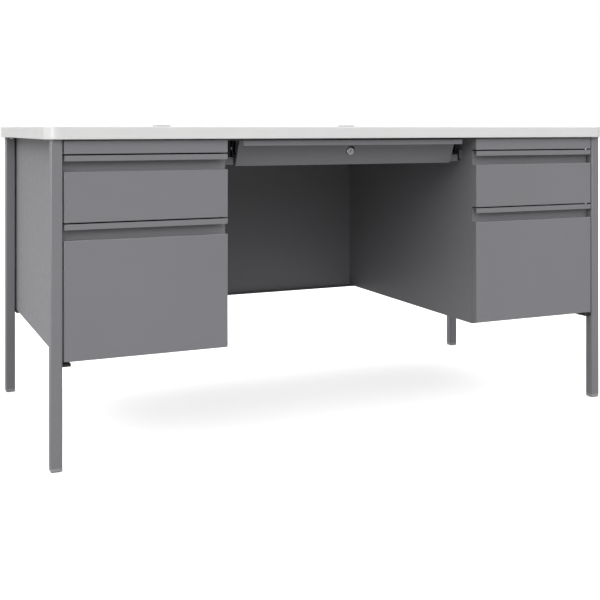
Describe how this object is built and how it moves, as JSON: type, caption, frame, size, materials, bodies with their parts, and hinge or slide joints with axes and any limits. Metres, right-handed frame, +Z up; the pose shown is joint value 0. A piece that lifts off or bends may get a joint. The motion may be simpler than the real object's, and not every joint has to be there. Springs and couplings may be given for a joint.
{
  "type": "teacher desk",
  "caption": "Double-pedestal teacher desk: white laminate top on square steel legs, grey box and file drawers at each side, locking centre drawer and modesty panel",
  "frame": {"origin": "on the floor, under the middle of the worktop", "axes": "+Z up, -Y out of the drawer fronts, +X to the right of someone sitting at the desk"},
  "size_m": [1.524, 0.762, 0.7538],
  "materials": {
    "white_laminate": "fine-textured matt laminate",
    "white_edging": "smooth matt edge band",
    "backer_sheet": "plain balancing sheet",
    "particleboard": "raw board",
    "grey_paint": "medium grey powder coat",
    "black_steel": "black coating",
    "zinc_steel": "zinc plated",
    "lock_zinc": "bright nickel plated",
    "grey_plastic": "moulded grey plastic",
    "black_plastic": "moulded black plastic"
  },
  "bodies": {
    "frame": {"case_bottom_rails": "grey_paint", "case_top_angles": "grey_paint", "center_case_slides": "black_steel", "center_slide_brackets": "grey_paint", "center_slide_rivets": "zinc_steel", "frame_screws": "zinc_steel", "grommet_caps": "grey_plastic", "grommet_sleeves": "grey_plastic", "left_case_shell": "grey_paint", "left_case_slides": "zinc_steel", "left_front_leg": "grey_paint", "left_header_rail": "grey_paint", "left_rear_leg": "grey_paint", "leg_brackets": "black_steel", "leg_glides": "grey_plastic", "leg_top_plates": "grey_paint", "lock_strike": "zinc_steel", "modesty_panel": "grey_paint", "right_case_shell": "grey_paint", "right_case_slides": "zinc_steel", "right_front_leg": "grey_paint", "right_header_rail": "grey_paint", "right_rear_leg": "grey_paint", "worktop_backer": "backer_sheet", "worktop_core": "particleboard", "worktop_edge_band": "white_edging", "worktop_laminate": "white_laminate", "worktop_screws": "zinc_steel"},
    "left_box_drawer": {"left_box_front": "grey_paint", "left_box_pull": "grey_paint", "left_box_tray": "grey_paint", "left_box_slide_inner": "zinc_steel"},
    "left_box_middle": {"left_box_slide_middle": "zinc_steel"},
    "left_file_drawer": {"left_file_front": "grey_paint", "left_file_pull": "grey_paint", "left_file_tray": "grey_paint", "left_file_slide_inner": "zinc_steel", "left_file_hanger_rails": "zinc_steel"},
    "left_file_middle": {"left_file_slide_middle": "zinc_steel"},
    "right_box_drawer": {"right_box_front": "grey_paint", "right_box_pull": "grey_paint", "right_box_tray": "grey_paint", "right_box_slide_inner": "zinc_steel"},
    "right_box_middle": {"right_box_slide_middle": "zinc_steel"},
    "right_file_drawer": {"right_file_front": "grey_paint", "right_file_pull": "grey_paint", "right_file_tray": "grey_paint", "right_file_slide_inner": "zinc_steel", "right_file_hanger_rails": "zinc_steel"},
    "right_file_middle": {"right_file_slide_middle": "zinc_steel"},
    "center_drawer": {"center_drawer_front": "grey_paint", "center_drawer_tray": "grey_paint", "center_drawer_slides": "black_steel", "pencil_tray": "black_plastic", "lock_barrel": "lock_zinc", "lock_nut": "zinc_steel"},
    "lock": {"lock_plug": "lock_zinc", "lock_cam": "zinc_steel", "lock_cam_screw": "zinc_steel"}
  },
  "joints": [
    {"name": "left_box_drawer_slide", "type": "slide", "parent": "frame", "child": "left_box_drawer", "axis": [0, -1, 0], "range_m": [0, 0.5]},
    {"name": "left_box_middle_slide", "type": "slide", "parent": "frame", "child": "left_box_middle", "axis": [0, -1, 0], "range_m": [0, 0.25]},
    {"name": "left_file_drawer_slide", "type": "slide", "parent": "frame", "child": "left_file_drawer", "axis": [0, -1, 0], "range_m": [0, 0.5]},
    {"name": "left_file_middle_slide", "type": "slide", "parent": "frame", "child": "left_file_middle", "axis": [0, -1, 0], "range_m": [0, 0.25]},
    {"name": "right_box_drawer_slide", "type": "slide", "parent": "frame", "child": "right_box_drawer", "axis": [0, -1, 0], "range_m": [0, 0.5]},
    {"name": "right_box_middle_slide", "type": "slide", "parent": "frame", "child": "right_box_middle", "axis": [0, -1, 0], "range_m": [0, 0.25]},
    {"name": "right_file_drawer_slide", "type": "slide", "parent": "frame", "child": "right_file_drawer", "axis": [0, -1, 0], "range_m": [0, 0.5]},
    {"name": "right_file_middle_slide", "type": "slide", "parent": "frame", "child": "right_file_middle", "axis": [0, -1, 0], "range_m": [0, 0.25]},
    {"name": "center_drawer_slide", "type": "slide", "parent": "frame", "child": "center_drawer", "axis": [0, -1, 0], "range_m": [0, 0.3]},
    {"name": "lock_turn", "type": "hinge", "parent": "center_drawer", "child": "lock", "pos_m": [0, -0.30654, 0.688], "axis": [0, -1, 0], "range_deg": [0, 90]}
  ],
  "couplings": [
    {"joint": "left_box_middle_slide", "follows": "left_box_drawer_slide", "ratio": 0.5},
    {"joint": "left_file_middle_slide", "follows": "left_file_drawer_slide", "ratio": 0.5},
    {"joint": "right_box_middle_slide", "follows": "right_box_drawer_slide", "ratio": 0.5},
    {"joint": "right_file_middle_slide", "follows": "right_file_drawer_slide", "ratio": 0.5}
  ]
}
